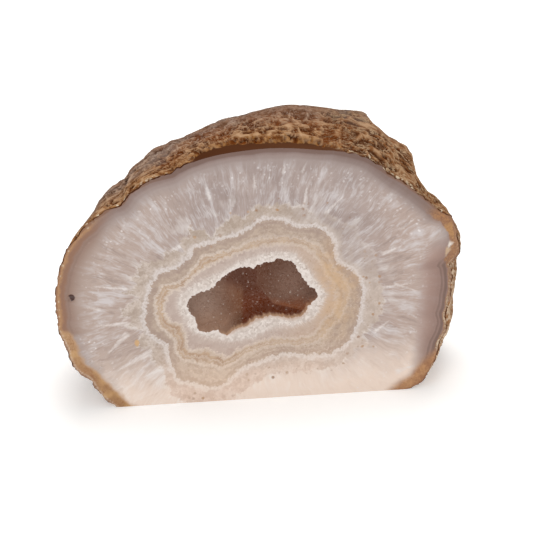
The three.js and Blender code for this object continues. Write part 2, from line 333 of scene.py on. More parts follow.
def nearest_seed(p):
    """Distance to the nearest of points scattered one to a unit cell."""
    cell = np.floor(p)
    nearest = np.full(p.shape[:-1], 9.0)
    for step in np.ndindex(3, 3, 3):
        x, y, z = np.moveaxis(cell + step - 1, -1, 0)
        seed = np.stack(
            [x + cell_value(x, y, z), y + cell_value(x + 57, y, z), z + cell_value(x, y + 113, z)],
            -1,
        )
        nearest = np.minimum(nearest, np.linalg.norm(p - seed, axis=-1))
    return nearest


def uneven(p, lumps):
    """Up and down at p: the sum over (size, height) rows of noise in lumps of that size."""
    return sum(height * (smooth_noise(p / size) - 0.5) for size, height in lumps)


def warp(p, size, amount):
    """p pushed about by noise in lumps of one size, the same way for near points."""
    pushes = [smooth_noise(p / size + shift) - 0.5 for shift in (11.3, 37.7, 71.9)]
    return p + amount * np.stack(pushes, -1)


def rind_net(p):
    """0 on the strands of the rind's net and about 0.2 in the middle of its openings: how far
    two fields of noise are from one half, whichever is nearer."""
    pushed = warp(p, 1.9, 1.0)
    sheets = [np.abs(smooth_noise(pushed / NET_SIZE + shift) - 0.5) for shift in (3.1, 43.7)]
    return np.minimum(*sheets)


def rind_relief(p, angle, r):
    """How far the rind stands out of the smooth back at p, broad and fine, and from 0 to 1
    how open and how much of a strand it is there.

    Broad: lumps of noise less round dents. Fine: a net of strands with openings between them,
    where noise says it is open, deeper towards their far side, and grain. On the shoulders
    the net is drawn out along the face's edge, and on the back it fades to shallow relief.
    """
    broad = LUMP_HEIGHT * (smooth_noise(p / LUMP_SIZE) - 0.5)
    broad = broad - DENT_DEPTH * smoothstep(*DENT_EDGES, nearest_seed(p / DENT_SPACING))
    drawn = np.stack([arc_length(angle)[0] * THREAD_STRETCH + 0 * r, p[..., 1], r], -1)
    shoulder = smoothstep(*SHOULDER_SIDE, np.abs(p[..., 0])) * smoothstep(*SHOULDER_HEIGHT, p[..., 2])
    shoulder = shoulder * smoothstep(*SHOULDER_DEPTH, p[..., 1])
    beyond = np.array([0, 0.8, 0.3])
    net = lerp(rind_net(p), rind_net(drawn), shoulder)
    behind = lerp(rind_net(p + beyond), rind_net(drawn + beyond), shoulder)
    opened = smoothstep(0.26, 0.5, smooth_noise(p / OPEN_SIZE + 19.1))
    opening = smoothstep(0.045, 0.11, net) * (0.35 + 0.65 * opened)
    # Openings count as more open towards a strand on their far side, where they sink deeper and where
    # the rind's shader paints them darkest: painted shade under that strand.
    opening = opening * (0.6 + 0.4 * smoothstep(0.1, 0.02, behind))
    strand = smoothstep(STRAND_WIDTH, 0.4 * STRAND_WIDTH, net)
    grain = smooth_noise(warp(p, 1.1, 0.8) / GRAIN_SIZE) - 0.5
    fine = GRAIN_HEIGHT * grain + NET_DEPTH * (0.35 - opening)
    near = smoothstep(NET_ENDS, NET_FADES, p[..., 1])
    return broad, fine * (0.3 + 0.7 * near), opening * near, strand * near


def ledge_depth(angle):
    """The depth of the broken edge of the rind, ragged along its length."""
    across = off_heart_line(angle, face_edge(angle), 0.0)
    return ledge(angle) + uneven(across, LEDGE_TEETH) * smoothstep(0.5, 3.0, ledge(angle))


def chipped_edge(angle, depth):
    """The edge of the face with its small chips, which fade out in the first millimetres
    of the rind."""
    across = off_heart_line(angle, face_edge(angle), 0.0)
    fading = smoothstep(2.5, 0.5, ledge(angle)) * smoothstep(2, 0, depth)
    return face_edge(angle) + uneven(across, EDGE_CHIPS) * fading


def base_distance(angle):
    """The distance from the heart line at which a direction meets the base's plane."""
    down = np.minimum(np.sin(angle), -1e-6)
    return np.where(np.sin(angle) < -0.05, -HEART_Z / down, 1e4)


def back_surface(angle, theta):
    """The rind: theta is 0 at the face and a quarter turn at the back pole.

    Depth is STONE_DEPTH sin(theta), and distance from the heart line is the face's edge times
    cos(theta) ^ BACK_FULLNESS, plus the swell times sin(2 theta) and the lumps. The relief is
    added straight out from the stone's core, and what passes the base is held at its plane.
    """
    y = STONE_DEPTH * np.sin(theta)
    shelf = ledge_depth(angle)
    cut = smoothstep(-0.6, 0.6, y - shelf - 0.6)
    grown = swell(angle) * np.sin(2 * theta) * np.where(ledge(angle) > 0.1, cut, 1)
    edge = lerp(chipped_edge(angle, y), ROUND_SIZE, smoothstep(0.72, 0.2, np.cos(theta)))
    r = edge * np.cos(theta) ** BACK_FULLNESS + grown
    for degrees, depth, width, height in LUMPS:
        around = (face_edge(angle) + HEART_HALF / 2) * 2 * np.sin((angle - math.radians(degrees)) / 2)
        bump = np.exp(-((around / width) ** 2) - ((y - depth) / width) ** 2)
        r = r + smoothstep(0, 0.5, np.cos(theta)) * height * bump
    sawn = base_distance(angle)
    on_rind = smoothstep(0.0, 2.0, sawn - r)
    half = HEART_HALF * smoothstep(0, 0.45, np.cos(theta))
    p = off_heart_line(angle, np.minimum(r, sawn), y, half)
    out = unit(p - CORE)
    broad, fine, pit, wall = rind_relief(p, angle, r)
    past_shelf = y - shelf
    lift = smoothstep(0, 3.5, past_shelf) * broad + smoothstep(0, 0.6, past_shelf) * fine
    p = p + out * (on_rind * lift)[..., None]
    p[..., 2] = np.maximum(p[..., 2], 0)
    return p, pit * smoothstep(0, 0.5, past_shelf), wall, past_shelf


def bowl(share):
    """The depth of a bowl at a share of the way to its edge: the root of 1 - share^4."""
    return np.sqrt(np.maximum(1 - share**4, 0))


def mouth_distance(angle):
    """The mouth of the hollow, toothed where crystals end at the polished face."""
    across = off_heart_line(angle, mouth(angle), 0.0)
    teeth = abs(smooth_noise(across / 0.55) - 0.5) + 0.7 * abs(smooth_noise(across / 1.3) - 0.5)
    return mouth(angle) + MOUTH_BUMP * (0.4 - 2 * teeth)


def hollow_surface(angle, reach_share):
    """The wall of the hollow: a bowl behind the mouth, with round lobes standing in it.

    A lobe's depth grows with the cube of the share of its radius, so it is flat in its middle
    and falls away ever more steeply. Where it meets the bowl the two are blended over
    LOBE_BLEND.
    """
    half = HEART_HALF * smoothstep(0, 0.3, reach_share)
    depth = HOLLOW_DEPTH * bowl(reach_share)
    p = off_heart_line(angle, mouth_distance(angle) * reach_share, depth, half)
    for x, z, radius, front in LOBES:
        lobe = front + LOBE_FALL * (np.hypot(p[..., 0] - x, p[..., 2] - z) / radius) ** 3
        share = np.clip(0.5 + (p[..., 1] - lobe) / (2 * LOBE_BLEND), 0, 1)
        rounding = LOBE_BLEND * share * (1 - share)
        p[..., 1] = lerp(p[..., 1], lobe, share) - rounding * smoothstep(0, 0.2, 1 - reach_share)
    return p


def running_length(step):
    """The length from the first point to each, from the steps between them."""
    return np.concatenate([[0], np.cumsum(step)])


def columns_along(curve, count):
    """Directions spaced evenly along an outline above the base, and wider along the base."""
    fine = np.linspace(0, TURN, 7201)
    reach = np.minimum(curve(fine), base_distance(fine))
    p = off_heart_line(fine, reach, 0.0)
    step = np.linalg.norm(np.diff(p, axis=0), axis=-1)
    along = running_length(step * np.where(p[1:, 2] < 0.01, BASE_SHARE, 1))
    return np.interp(np.arange(count) / count * along[-1], along, fine)


def rind_thetas():
    """Rows of the rind, closer together near the face: the spacing grows from 2 to 3."""
    fine = np.linspace(0, math.pi / 2, 4001)
    size = ROUND_SIZE * np.cos(fine) ** BACK_FULLNESS
    along = running_length(np.hypot(np.diff(size), np.diff(STONE_DEPTH * np.sin(fine))))
    share = np.arange(1, RIND_ROWS + 1) / RIND_ROWS
    return np.interp((0.8 * share + 0.2 * share**2) * along[-1], along, fine)


# The surfaces, with the values that their materials read


def distance_from(curve, angle, reach):
    """Signed millimetres from an outline, positive outside: the difference along the
    direction from the heart line, over the length of that difference's gradient."""
    nudge = 0.03
    turned = -(curve(angle + nudge) - curve(angle - nudge)) / (2 * nudge)
    cos, sin = np.cos(angle), np.sin(angle)
    area = reach * cos**2 + (HEART_HALF + reach) * sin**2
    slope_x = (reach * cos - sin * turned) / area
    slope_z = (cos * turned + (HEART_HALF + reach) * sin) / area
    return (reach - curve(angle)) / np.hypot(slope_x, slope_z)


# Each stored distance and the outline that it is measured from
BANDS = {
    "from_mouth": mouth,
    "from_crust": crust_edge,
    "from_tan_inner": outline(TAN_INNER),
    "from_tan_outer": outline(TAN_OUTER),
    "from_lavender": outline(LAVENDER),
    "from_points": outline(POINTS),
    "from_edge": face_edge,
}
GRAIN_REACH = 20.0


def arc_length(angle):
    """The length along the ellipse at GRAIN_REACH from direction 0, and its whole length."""
    fine = np.linspace(0, TURN, 3601)
    half_width = HEART_HALF + GRAIN_REACH
    step = np.hypot(half_width * np.sin(fine[1:]), GRAIN_REACH * np.cos(fine[1:])) * fine[1]
    along = running_length(step)
    return np.interp(angle, fine, along), along[-1]


def band_values(angle, reach):
    """For points of the face: the distance from each outline, and a grain vector that goes
    round a circle as the direction turns and grows along it, so that streaks follow the
    crystals at their true size."""
    angle, reach = np.broadcast_arrays(angle, reach)
    values = {name: distance_from(curve, angle, reach) for name, curve in BANDS.items()}
    along, whole = arc_length(angle)
    around = along / whole * TURN
    radius = whole / TURN
    turn = [radius * np.cos(around), radius * np.sin(around), reach]
    values["grain"] = np.stack(turn, -1)
    return values


def pinhole(p):
    """The small pit in the face: 1 at its middle and 0 beyond its size."""
    return smoothstep(1.4, 0.4, np.hypot(p[..., 0] - PINHOLE_X, p[..., 2] - PINHOLE_Z) / PINHOLE_SIZE)


def ring_faces(rows, columns):
    """Faces of rows of points round a ring, closed at both ends on a single point: fans of
    triangles from point 0 and to the last point, and quads between the rows."""
    here = np.arange(columns)
    following = (here + 1) % columns
    first = np.stack([np.zeros(columns, int), 1 + here, 1 + following], -1)
    start = 1 + columns * np.arange(rows - 1)[:, None]
    a, b = start + here, start + following
    quads = np.stack([a, a + columns, b + columns, b], -1).reshape(-1, 4)
    last_row = 1 + columns * (rows - 1)
    end = np.full(columns, last_row + columns)
    last = np.stack([last_row + here, end, last_row + following], -1)
    return first, quads, last


def unrolled(grid):
    """The rows of a grid in the order of ring_faces, each end row drawn in to one point."""
    inside = grid[1:-1].reshape(-1, *grid.shape[2:])
    return np.concatenate([grid[0, :1], inside, grid[-1, :1]])


def frame_shift():
    """What moves the face's axes to the frame: the crust's left end and the stone's front."""
    angle = np.linspace(0, TURN, 721)
    left_end = off_heart_line(angle, crust_edge(angle), 0.0)[:, 0].min()
    crust_low, stone_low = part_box("crystal_crust")[0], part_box("agate_stone")[0]
    return np.array([crust_low[0] / MM - left_end, stone_low[1] / MM, 0.0])


FRAME_SHIFT = frame_shift()


def add_object(name, data):
    """A new object in the scene, at the origin."""
    made = bpy.data.objects.new(name, data)
    bpy.context.scene.collection.objects.link(made)
    return made


def make_piece(name, points, faces, materials, material_index, smooth, values):
    """A mesh object at the origin, with its points moved to the frame and its values stored."""
    mesh = bpy.data.meshes.new(name)
    placed = (points + FRAME_SHIFT) * MM
    mesh.from_pydata(placed.tolist(), [], [face for group in faces for face in group.tolist()])
    mesh.polygons.foreach_set("material_index", material_index.astype(np.int32))
    mesh.polygons.foreach_set("use_smooth", smooth)
    for key, value in values.items():
        kind, field = ("FLOAT_VECTOR", "vector") if value.ndim == 2 else ("FLOAT", "value")
        layer = mesh.attributes.new(key, kind, "POINT")
        layer.data.foreach_set(field, value.astype(np.float32).ravel())
    for material in materials:
        mesh.materials.append(material)
    mesh.update()
    return add_object(name, mesh)


def crust_back(angle, share, edge_change):
    """The back of the crust: a bowl behind the crust's edge, closing on one point."""
    half = HEART_HALF * smoothstep(0, 0.3, share)
    reach = (crust_edge(angle) + edge_change) * share
    return off_heart_line(angle, reach, CRUST_BACK_DEPTH * bowl(share), half)


RIND, FACE, BASE, HIDDEN = range(4)


def stone_piece(materials):
    """The stone, in one closed surface: its hollow's wall, its face and its rind.

    The rows run from the bottom of the hollow to the hollow's edge, over the polished face,
    and over the rind to the pole at the back. Columns that meet the sawn base run straight
    back along it until the rind rises from it.
    """
    angle = columns_along(face_edge, STONE_COLUMNS)
    hollow = crust_back(angle, HOLLOW_SHARES, -OVERLAP)

    rim = np.minimum(chipped_edge(angle, 0.0), base_distance(angle))
    inner = np.linspace(0, 1, FACE_INNER_ROWS, endpoint=False)[1:, None]
    outer = np.linspace(1, 0, FACE_EDGE_ROWS + 1)[:, None]
    reach = np.concatenate([
        lerp(crust_edge(angle) - OVERLAP, rim - FACE_EDGE_WIDTH, inner),
        rim - FACE_EDGE_WIDTH * outer,
    ])
    face = off_heart_line(angle, reach, 0.0)
    face[..., 1] = PINHOLE_DEPTH * pinhole(face)

    rind, pit, wall, past_shelf = back_surface(angle, rind_thetas()[:, None])

    grid = np.concatenate([hollow, face, rind])
    rows = len(grid) - 2
    faces = ring_faces(rows, STONE_COLUMNS)

    face_rows = slice(len(hollow), len(hollow) + len(face))
    rind_rows = slice(face_rows.stop, len(grid))
    all_reach = np.zeros(grid.shape[:2])
    all_reach[len(hollow) - 1] = crust_edge(angle) - OVERLAP
    all_reach[face_rows] = reach
    values = band_values(angle, all_reach)
    on_rind_only = {"pit": (pit, 0.0), "wall": (wall, 0.0), "past_shelf": (past_shelf, -9.0)}
    for key, (value, elsewhere) in on_rind_only.items():
        values[key] = np.full(grid.shape[:2], elsewhere)
        values[key][rind_rows] = value
    values = {key: unrolled(value) for key, value in values.items()}

    region = np.full((rows - 1, STONE_COLUMNS), RIND)
    region[: len(hollow) - 2] = HIDDEN
    region[len(hollow) - 2 : face_rows.stop - 2] = FACE
    on_base = grid[1:-1, :, 2] < 1e-6
    flat = on_base[:-1] & on_base[1:] & np.roll(on_base, -1, 1)[:-1] & np.roll(on_base, -1, 1)[1:]
    region[face_rows.stop - 2 :][flat[face_rows.stop - 2 :]] = BASE
    index = np.concatenate([
        np.full(STONE_COLUMNS, HIDDEN), region.ravel(), np.full(STONE_COLUMNS, RIND),
    ])
    smooth = np.isin(index, (RIND, HIDDEN))
    piece = make_piece("agate_body", unrolled(grid), faces, materials, index, smooth, values)
    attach(piece, "root")
    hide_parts("agate_stone")
    return piece


def crystal_shapes(centre, normal, width, rng):
    """Six-sided crystals: a short prism with a point, its axis leaning a little off normal.

    Each has 6 corners sunk in the wall, 6 at the shoulder and a tip, turned about its axis
    by a random angle. Returns points, quads and triangles.
    """
    count = len(centre)
    axis = unit(normal + rng.normal(0, CRYSTAL_LEAN, (count, 3)))
    side = unit(np.cross(axis, rng.normal(0, 1, (count, 3))))
    third = np.cross(axis, side)
    corner = np.arange(6) * TURN / 6
    squash = rng.uniform(*CRYSTAL_SQUASH, (count, 1))
    radius = width[:, None] / 2
    ring = (
        (radius * squash * np.cos(corner))[..., None] * side[:, None]
        + (radius / squash * np.sin(corner))[..., None] * third[:, None]
    )
    shoulder = width * rng.uniform(*CRYSTAL_SHOULDER, count)
    tip = shoulder + width * rng.uniform(*CRYSTAL_POINT, count)
    root = centre - axis * (width * CRYSTAL_ROOT)[:, None]
    points = np.concatenate([
        root[:, None] + ring,
        (centre + axis * shoulder[:, None])[:, None] + ring * CRYSTAL_TAPER,
        (centre + axis * tip[:, None])[:, None],
    ], 1)
    here = np.arange(6)
    following = (here + 1) % 6
    quads = np.stack([here, following, following + 6, here + 6], -1)
    tips = np.stack([here + 6, following + 6, np.full(6, CRYSTAL_CORNERS - 1)], -1)
    start = CRYSTAL_CORNERS * np.arange(count)[:, None, None]
    return points.reshape(-1, 3), (start + quads).reshape(-1, 4), (start + tips).reshape(-1, 3)


def crystals_in_hollow(rng):
    """Places crystals on the hollow's wall, as many to an area everywhere."""
    angle = (np.arange(PLACES_AROUND) + 0.5) / PLACES_AROUND * TURN
    share = ((np.arange(PLACES_INWARD) + 0.5) / PLACES_INWARD) ** 0.5
    share = 1 - (1 - share) ** 1.6
    grid_angle, grid_share = np.meshgrid(angle, share)
    nudge = 0.004
    across = hollow_surface(grid_angle + nudge, grid_share) - hollow_surface(grid_angle, grid_share)
    deeper = hollow_surface(grid_angle, grid_share - nudge) - hollow_surface(grid_angle, grid_share)
    cross = np.cross(across, deeper)
    rows = np.gradient(share)[:, None]
    area = np.linalg.norm(cross, axis=-1) * rows
    chosen = rng.choice(area.size, CRYSTAL_COUNT, p=(area / area.sum()).ravel())
    turned = rng.uniform(-0.5, 0.5, CRYSTAL_COUNT) * TURN / PLACES_AROUND
    shifted = rng.uniform(-0.5, 0.5, CRYSTAL_COUNT) * 0.012
    centre_share = np.clip(grid_share.ravel()[chosen] + shifted, 0.01, 0.999)
    centre = hollow_surface(grid_angle.ravel()[chosen] + turned, centre_share)
    normal = unit(cross.reshape(-1, 3)[chosen])
    normal = np.where((normal[:, 1] > 0)[:, None], -normal, normal)
    width = rng.uniform(*CRYSTAL_WIDTH, CRYSTAL_COUNT)
    points, quads, tips = crystal_shapes(centre, normal, width, rng)
    points[:, 1] = np.maximum(points[:, 1], 0.0)
    return points, quads, tips, np.repeat(rng.uniform(0, 1, CRYSTAL_COUNT), CRYSTAL_CORNERS)


def crust_piece(materials):
    """The crust: its crystal-covered wall, the rim where it shows in the face, and its back."""
    rng = np.random.default_rng(CRYSTAL_SEED)
    angle = columns_along(mouth, CRUST_COLUMNS)
    share = 1 - (1 - np.linspace(0, 1, CRUST_WALL_ROWS)[:, None]) ** 1.7
    wall = hollow_surface(angle, share)
    bed = smooth_noise(wall / 0.8) + 0.6 * smooth_noise(wall / 0.4) - 0.8
    wall[..., 1] -= BED_HEIGHT * bed * smoothstep(1, 0.96, share)
    rim_share = np.linspace(0, 1, CRUST_RIM_ROWS + 1)[1:, None]
    rim_reach = lerp(mouth_distance(angle), crust_edge(angle), rim_share)
    rim = off_heart_line(angle, rim_reach, -RIM_PROUD)
    wall[-1, :, 1] = -RIM_PROUD
    back = crust_back(angle, HOLLOW_SHARES[-2::-1], 0.0)

    grid = np.concatenate([wall, rim, back])
    points = unrolled(grid)
    rows = len(grid) - 2
    first, quads, last = ring_faces(rows, CRUST_COLUMNS)
    reach = np.zeros(grid.shape[:2])
    reach[len(wall) - 1] = mouth_distance(angle)
    reach[len(wall) : len(wall) + len(rim)] = rim_reach
    values = {key: unrolled(value) for key, value in band_values(angle, reach).items()}

    crystals, sides, tips, sparkle = crystals_in_hollow(rng)
    start = len(points)
    for key, value in values.items():
        values[key] = np.concatenate([value, np.zeros((len(crystals), *value.shape[1:]))])
    values["sparkle"] = np.concatenate([np.full(start, 0.5), sparkle])

    region = np.full((rows - 1, CRUST_COLUMNS), 0)
    region[len(wall) - 2 : len(wall) - 2 + CRUST_RIM_ROWS] = 1
    crystal_faces = len(sides) + len(tips)
    index = np.concatenate([
        np.zeros(CRUST_COLUMNS, int), region.ravel(), np.zeros(CRUST_COLUMNS, int),
        np.zeros(crystal_faces, int),
    ])
    smooth = (np.arange(len(index)) < len(index) - crystal_faces) & (index == 0)
    faces = (first, quads, last, start + sides, start + tips)
    points = np.concatenate([points, crystals])
    piece = make_piece("crystal_lining", points, faces, materials, index, smooth, values)
    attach(piece, "root")
    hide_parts("crystal_crust")
    return piece


# Materials


def paint(code):
    """A colour written as six hex digits, as the linear numbers that shaders use."""
    parts = [int(code[i : i + 2], 16) / 255 for i in (0, 2, 4)]
    linear = [c / 12.92 if c <= 0.04045 else ((c + 0.055) / 1.055) ** 2.4 for c in parts]
    return (*linear, 1.0)


def arithmetic(operation, reflected=False):
    """An operator of Shade: one Math node, with its operands swapped where it is reflected."""

    def act(*values):
        ordered = values[::-1] if reflected else values
        return values[0].node("ShaderNodeMath", {"operation": operation}, dict(enumerate(ordered)))

    return act


class Shade:
    """One output in a material's nodes. Arithmetic on it adds Math nodes."""

    __add__ = __radd__ = arithmetic("ADD")
    __sub__ = arithmetic("SUBTRACT")
    __rsub__ = arithmetic("SUBTRACT", reflected=True)
    __mul__ = __rmul__ = arithmetic("MULTIPLY")
    __truediv__ = arithmetic("DIVIDE")
    __abs__ = arithmetic("ABSOLUTE")
    sine = arithmetic("SINE")
    larger = arithmetic("MAXIMUM")
    smaller = arithmetic("MINIMUM")

    def __init__(self, tree, link=None):
        self.tree = tree
        self.link = link

    def node(self, kind, settings=None, inputs=None, output=0):
        """Adds a node: its settings first, then its sockets' values, colour codes or links."""
        made = self.tree.nodes.new(kind)
        for key, value in (settings or {}).items():
            setattr(made, key, value)
        for key, value in (inputs or {}).items():
            if isinstance(value, Shade):
                self.tree.links.new(value.link, made.inputs[key])
            else:
                made.inputs[key].default_value = paint(value) if isinstance(value, str) else value
        return Shade(self.tree, made.outputs[output] if len(made.outputs) else None)

    def __neg__(self):
        return self * -1.0

    def rise(self, low, high):
        """0 at low and 1 at high, eased at both ends. It falls where high is under low."""
        settings = {"interpolation_type": "SMOOTHSTEP"}
        return self.node("ShaderNodeMapRange", settings, {0: self, 1: low, 2: high, 3: 0.0, 4: 1.0})

    def blend(self, below, above):
        """The colour below where this is 0 and the colour above where it is 1."""
        settings = {"data_type": "RGBA"}
        return self.node("ShaderNodeMix", settings, {0: self, 6: below, 7: above}, 2)

    def part(self, index):
        """The x, y or z of this vector."""
        return self.node("ShaderNodeSeparateXYZ", {}, {0: self}, index)

    def scaled(self, x, y=None, z=None):
        """This vector with each part multiplied by its own number."""
        factors = (x, x if y is None else y, x if z is None else z)
        return self.node("ShaderNodeVectorMath", {"operation": "MULTIPLY"}, {0: self, 1: factors})

    def times(self, factor):
        """This vector or colour, each part multiplied by the same number."""
        return self.node("ShaderNodeVectorMath", {"operation": "SCALE"}, {0: self, "Scale": factor})

    def moved(self, by):
        """This vector plus another, or plus three numbers."""
        return self.node("ShaderNodeVectorMath", {"operation": "ADD"}, {0: self, 1: by})

    def noise(self, size, detail=2.0, roughness=0.5, distortion=0.0, colour=False):
        """Noise from 0 to 1 over this vector, in lumps of one size."""
        inputs = {
            "Vector": self, "Scale": 1 / size, "Detail": detail, "Roughness": roughness,
            "Distortion": distortion,
        }
        return self.node("ShaderNodeTexNoise", {}, inputs, 1 if colour else 0)

    def cells(self, size, output=0):
        """Scattered cells of one size over this vector: the distance from the nearest middle,
        or at output 1 a random colour for each."""
        return self.node("ShaderNodeTexVoronoi", {}, {"Vector": self, "Scale": 1 / size}, output)

    def vein(self, size, detail=2.0, roughness=0.5, distortion=0.0):
        """How far such noise is from its middle, which is 0 on winding sheets."""
        return abs(self.noise(size, detail, roughness, distortion) - 0.5)

    def specks(self, size, shape, part, chosen):
        """Dots in such cells, for those that one part of their random colour picks. Shape and
        chosen are the limits of the two rises."""
        return self.cells(size).rise(*shape) * self.cells(size, output=1).part(part).rise(*chosen)

    def attribute(self, name, output=2):
        """A stored value of the mesh, or at output 1 a stored vector."""
        return self.node("ShaderNodeAttribute", {"attribute_name": name}, {}, output)

    def inside(self, soft):
        """1 where this distance is under 0, with an edge of some softness."""
        return self.rise(soft, -soft)

    def line(self, half_width, soft):
        """1 within half_width of 0."""
        return abs(self).rise(half_width + soft, half_width)

    def place(self):
        """The point's place in millimetres on the polished face's axes."""
        return self.node("ShaderNodeTexCoord", {}, {}, 3).times(1 / MM).moved(tuple(-FRAME_SHIFT))

    def bump(self, strength, distance):
        """The direction of a surface that stands out by this height, times a distance in metres."""
        inputs = {"Strength": strength, "Distance": distance, "Height": self}
        return self.node("ShaderNodeBump", {}, inputs)


def new_finish(name):
    """An empty material and the start of its nodes."""
    material = bpy.data.materials.new(name)
    material.use_nodes = True
    material.node_tree.nodes.clear()
    return material, Shade(material.node_tree)


def close_finish(material, start, inputs):
    """Ends a material in a Principled surface with the given sockets."""
    surface = start.node("ShaderNodeBsdfPrincipled", {}, inputs)
    start.node("ShaderNodeOutputMaterial", {}, {"Surface": surface})
    return material


def face_fields(start):
    """What the face's colours are made from: places, noises and jagged band distances."""
    f = SimpleNamespace(place=start.place(), grain=start.attribute("grain", 1))
    f.x, f.z = f.place.part(0), f.place.part(2)
    f.broad = f.place.noise(11.0, 3.0)
    f.cloud = f.place.noise(3.2, 5.0, 0.62)
    f.patch = f.place.noise(5.0, 2.0)
    f.fine = f.place.noise(0.6, 3.0, 0.7)
    f.facet = f.place.cells(1.2, output=1).part(0)
    f.fill = (f.cloud * 0.8 + f.fine * 0.5 + f.facet * 0.2).rise(0.5, 1.0)
    # low is 1 on the lower part of the face, where every band takes a lighter, warmer tone: painted
    # light, the floor's light glowing up through the stone. calm, low at the left, quietens the streaks
    # there with it.
    height = f.z + (f.broad - 0.5) * 9 + (f.cloud - 0.5) * 6 + f.x.rise(-16.0, -36.0) * 2.5
    f.low = height.rise(21.0, 3.0)
    f.calm = f.low * f.x.rise(-20.0, -2.0)
    push = f.place.noise(6.0, 1.0, colour=True).moved((-0.5, -0.5, -0.5)).scaled(1.6)
    f.streaks = f.grain.moved(push)
    f.hair = f.grain.scaled(1, 1, 0.25).noise(0.7, 3.0, 0.7)
    teeth = f.grain.scaled(1, 1, 0.35).cells(1.9) + f.grain.scaled(1, 1, 0.5).cells(0.8) * 0.8
    jag = 0.95 - teeth * 1.15 + (f.fine - 0.5) * 1.3 + (f.patch - 0.5) * 1.2
    f.crust = start.attribute("from_crust") + (f.hair - 0.5) * 3.0 + (f.fine - 0.5) * 1.0
    f.tan_in = start.attribute("from_tan_inner") + jag * 0.8
    f.tan_out = start.attribute("from_tan_outer") + jag * 0.8
    f.violet = start.attribute("from_lavender") + jag
    f.points = start.attribute("from_points") + jag * 1.4
    f.depth = (f.place.noise(6.0, 2.0) - 0.5) * 1.0 - start.attribute("from_edge")
    f.from_mouth = start.attribute("from_mouth")
    return f


def oval(f, x, z, half_width, half_height):
    """0 at a point of the face and 1 on the ellipse round it, growing as the square."""
    across = (f.x - x) / half_width
    up = (f.z - z) / half_height
    return across * across + up * up


def blade_light(f, root_x, root_z, tip_x, tip_z, width):
    """1 inside a blade that narrows from its root to its tip, with a slightly ragged edge."""
    length = math.hypot(tip_x - root_x, tip_z - root_z)
    x, z = (tip_x - root_x) / length, (tip_z - root_z) / length
    along = f.x * x + f.z * z - (root_x * x + root_z * z)
    aside = abs(f.x * z - f.z * x - (root_x * z - root_z * x))
    inside = along * (-width / (2 * length)) + (width * 0.55 + (f.fine - 0.5) * 1.2) - aside
    return inside.rise(-0.25, 0.4) * along.rise(-0.5, 0.6) * along.rise(length + 0.5, length - 1.2)


def quartz_colour(f):
    """Quartz between the rim and the bands: crystals side by side, each its own tone, with
    soft streaks along them, bright flecks further out and pale blades by their points."""
    crystal = f.streaks.scaled(1, 1, 0.2)
    big = crystal.cells(2.6, output=1).part(0)
    small = crystal.cells(1.1, output=1).part(1)
    streak = f.streaks.scaled(1, 1, 0.15).noise(0.9, 4.0, 0.6)
    thread = f.streaks.scaled(1, 1, 0.08).noise(0.4, 2.0, 0.55)
    tone = big * 0.24 + small * 0.2 + streak * 1.1 + thread * 0.5 + f.cloud * 0.5
    ground = f.broad.rise(0.35, 0.65).blend("9E8C86", "AF9D96")
    ground = f.x.rise(-10.0, -34.0).blend(ground, "B5A095")
    ground = f.x.rise(24.0, 40.0).blend(ground, "B59F94")
    ground = f.low.blend(ground, "EEDACB")
    light = f.low.blend("D3CCCC", "F8EAE0")
    dark = f.low.blend("95827A", "D8BDAB")
    colour = (tone.rise(1.2, 1.7) * (0.8 - f.calm * 0.55)).blend(ground, light)
    colour = (tone.rise(1.22, 0.85) * (0.65 - f.calm * 0.4)).blend(colour, dark)

    needle = f.streaks.scaled(1, 1, 0.07).vein(0.9).rise(0.035, 0.005)
    colour = (needle * f.cloud.rise(0.4, 0.62) * (0.45 - f.calm * 0.35)).blend(colour, light)

    blade = f.streaks.scaled(1, 1, 0.35)
    pick = blade.cells(2.4, output=1).part(2)
    near = f.points.rise(9.0, 0.5) * f.patch.rise(0.42, 0.6)
    blade_paint = f.low.blend("D9D1CD", "F4E8DF")
    colour = (pick.rise(0.6, 0.66) * near * streak.rise(0.3, 0.65) * 0.6).blend(colour, blade_paint)
    lit = blade_light(f, *BLADES[0])
    for placed in BLADES[1:]:
        lit = lit.larger(blade_light(f, *placed))
    colour = (lit * (streak.rise(0.35, 0.65) * 0.4 + 0.3)).blend(colour, "EAE2DE")

    fleck = f.streaks.scaled(1, 1, 0.6)
    spot = fleck.specks(0.6, (0.42, 0.2), 0, (0.55, 0.9))
    outer = f.depth.rise(2.0, 3.4) * f.depth.rise(15.0, 5.0) * f.cloud.rise(0.36, 0.6)
    return (spot * outer * (0.7 - f.low * 0.4)).blend(colour, "EFE9E8")


